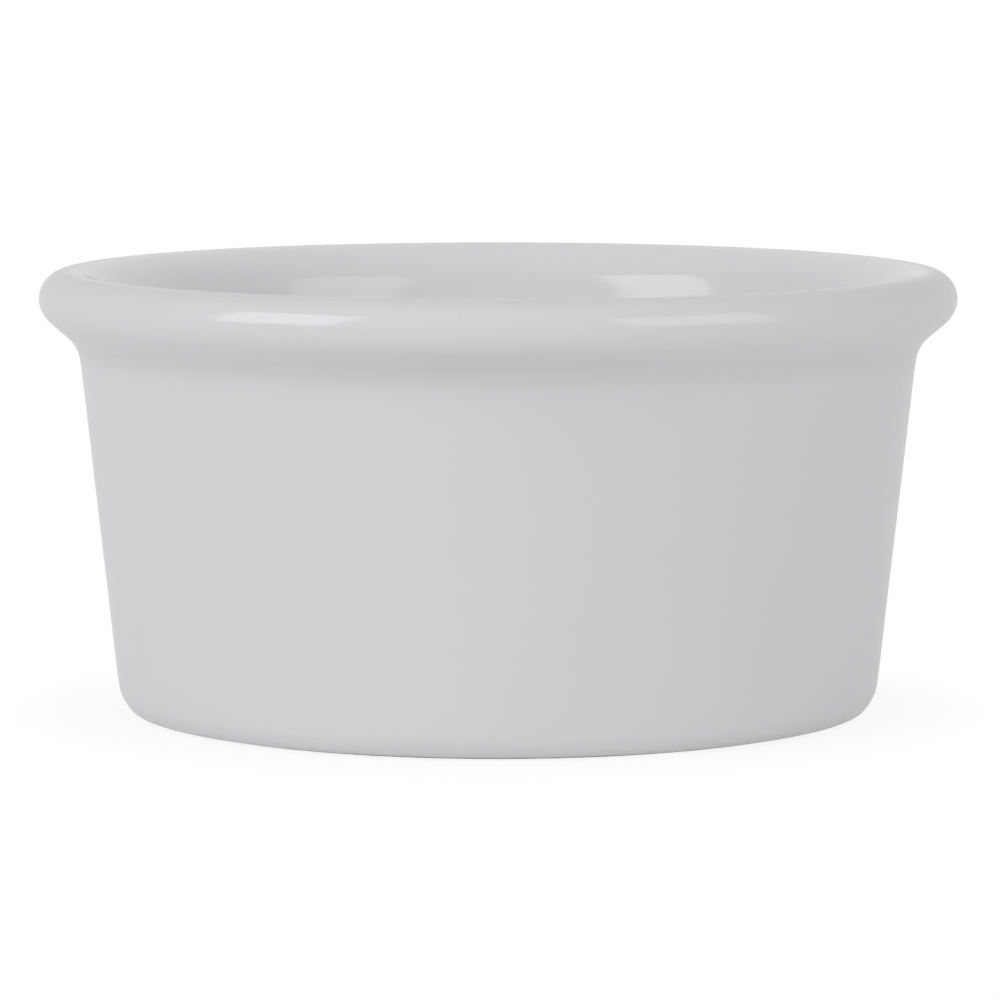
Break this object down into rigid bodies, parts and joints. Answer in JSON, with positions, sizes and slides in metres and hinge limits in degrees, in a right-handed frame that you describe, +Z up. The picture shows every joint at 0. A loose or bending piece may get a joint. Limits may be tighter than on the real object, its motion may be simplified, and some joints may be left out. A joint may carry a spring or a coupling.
{
  "type": "ramekin",
  "caption": "Small round glazed ceramic baking dish with a straight, slightly flared wall, a thick rolled rim with a rounded groove under it, and a recessed foot.",
  "frame": {"origin": "middle of the foot, on the plane of the table that the ramekin stands on", "axes": "+Z up along the axis that every surface is turned about, from the foot to the rim; X and Y are level and equal"},
  "size_m": [0.089, 0.089, 0.0429],
  "materials": {
    "bare_ceramic": "matte, fine-grained",
    "white_glaze": "gloss"
  },
  "bodies": {
    "root": {"ceramic_body": "bare_ceramic", "glaze_coat": "white_glaze", "base_glaze": "white_glaze"}
  },
  "joints": []
}
